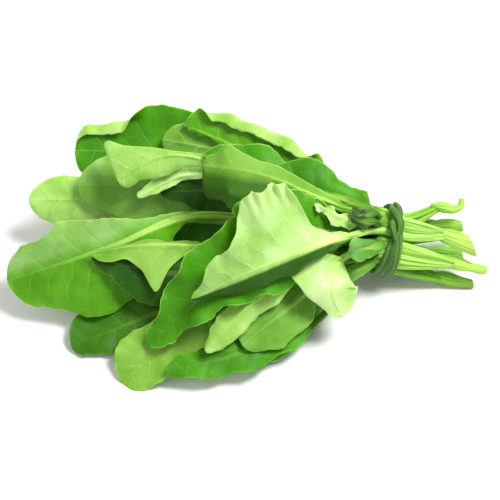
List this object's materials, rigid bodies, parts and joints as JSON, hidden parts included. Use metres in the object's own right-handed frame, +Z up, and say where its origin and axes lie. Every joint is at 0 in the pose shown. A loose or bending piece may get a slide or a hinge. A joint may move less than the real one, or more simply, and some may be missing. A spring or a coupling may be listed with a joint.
{
  "type": "bunch of spinach",
  "caption": "Fresh spinach lying on its side: broad waved leaves on pale stalks, tied round the neck with a strip of green leaf and cut at the crowns.",
  "frame": {"origin": "on the flat of the lowest leaf, where the bunch rests on the surface", "axes": "+X along the bunch toward the cut crowns, +Y toward its back, +Z up"},
  "size_m": [0.2954, 0.1762, 0.1012],
  "materials": {
    "plant_a": "fresh leaf, soft sheen",
    "plant_b": "fresh leaf, soft sheen",
    "plant_c": "fresh leaf, soft sheen",
    "plant_d": "fresh leaf, soft sheen",
    "plant_e": "fresh leaf, soft sheen",
    "plant_f": "fresh leaf, soft sheen",
    "tie": "twisted green leaf strip"
  },
  "bodies": {
    "root": {"plant_a": "plant_a", "plant_b": "plant_b", "plant_c": "plant_c", "plant_d": "plant_d", "plant_e": "plant_e", "plant_f": "plant_f", "tie": "tie"}
  },
  "joints": []
}
